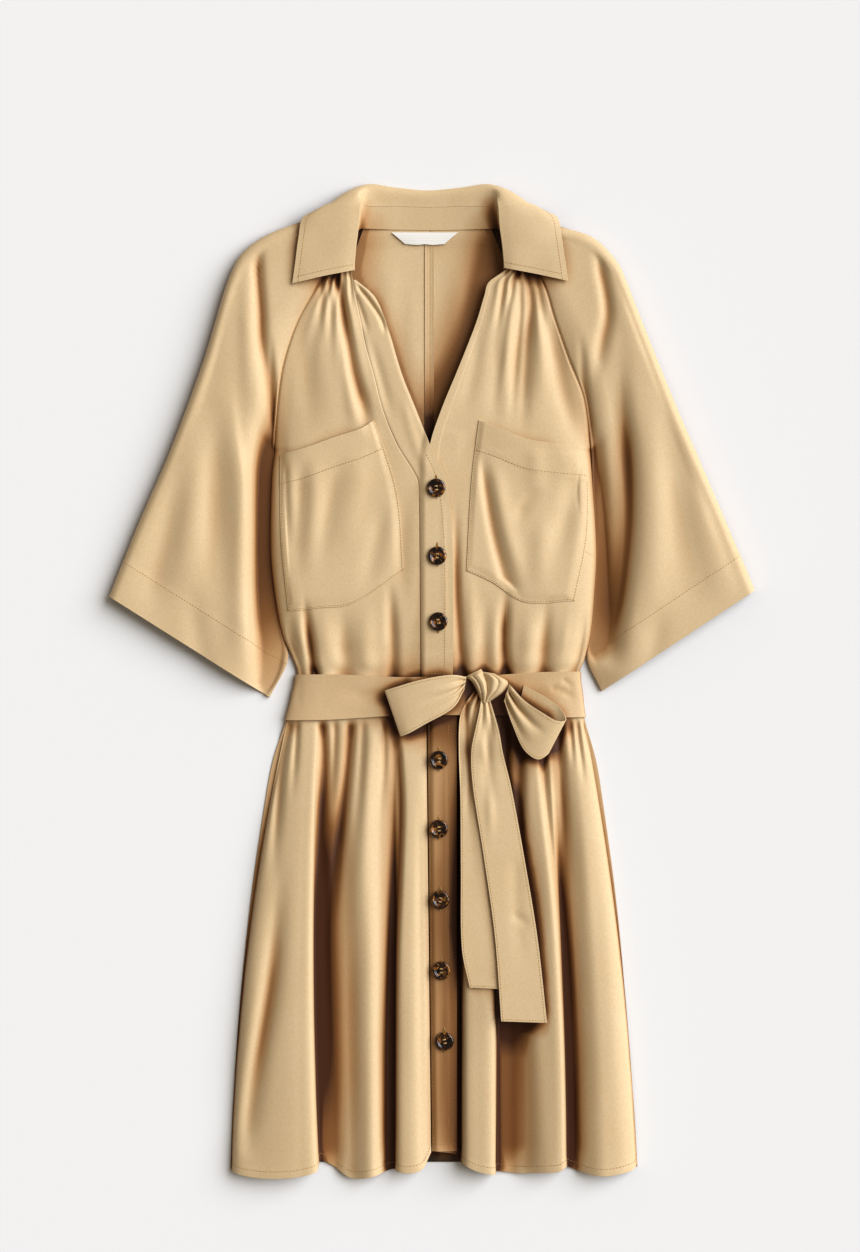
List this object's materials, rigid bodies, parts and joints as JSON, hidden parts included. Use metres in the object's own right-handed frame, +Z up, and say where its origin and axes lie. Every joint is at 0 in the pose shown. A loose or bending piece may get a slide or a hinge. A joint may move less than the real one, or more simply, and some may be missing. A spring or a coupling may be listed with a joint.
{
  "type": "shirt dress laid flat",
  "caption": "Short-sleeved raglan shirt dress in soft crepe, laid flat, with a pointed collar, button front, two chest pockets, flared skirt and a tie belt in a bow.",
  "frame": {"origin": "on the surface that the dress lies on, under the middle of its outline", "axes": "+Y along the dress from the hem towards the collar, +X across it towards the right of somebody who looks down on it, +Z up from the surface"},
  "size_m": [0.621, 0.9559, 0.0289],
  "materials": {
    "crepe": "soft matt woven viscose crepe",
    "button_resin": "polished tortoiseshell resin",
    "label_satin": "blank white satin tape"
  },
  "bodies": {
    "root": {"back_bodice_left": "crepe", "back_bodice_right": "crepe", "skirt_back": "crepe", "front_bodice_left": "crepe", "front_bodice_right": "crepe", "button_band_bodice": "crepe", "skirt_front_left": "crepe", "skirt_front_right": "crepe", "button_band_skirt": "crepe", "sleeve_left": "crepe", "sleeve_right": "crepe", "pocket_left": "crepe", "pocket_right": "crepe", "collar_leaf": "crepe", "collar_stand": "crepe", "belt": "crepe", "bow_knot": "crepe", "bow_loop_left": "crepe", "bow_loop_right": "crepe", "bow_tail_narrow": "crepe", "bow_tail_wide": "crepe", "button_1": "button_resin", "button_2": "button_resin", "button_3": "button_resin", "button_4": "button_resin", "button_5": "button_resin", "button_6": "button_resin", "button_7": "button_resin", "button_8": "button_resin", "neck_label": "label_satin"}
  },
  "joints": []
}
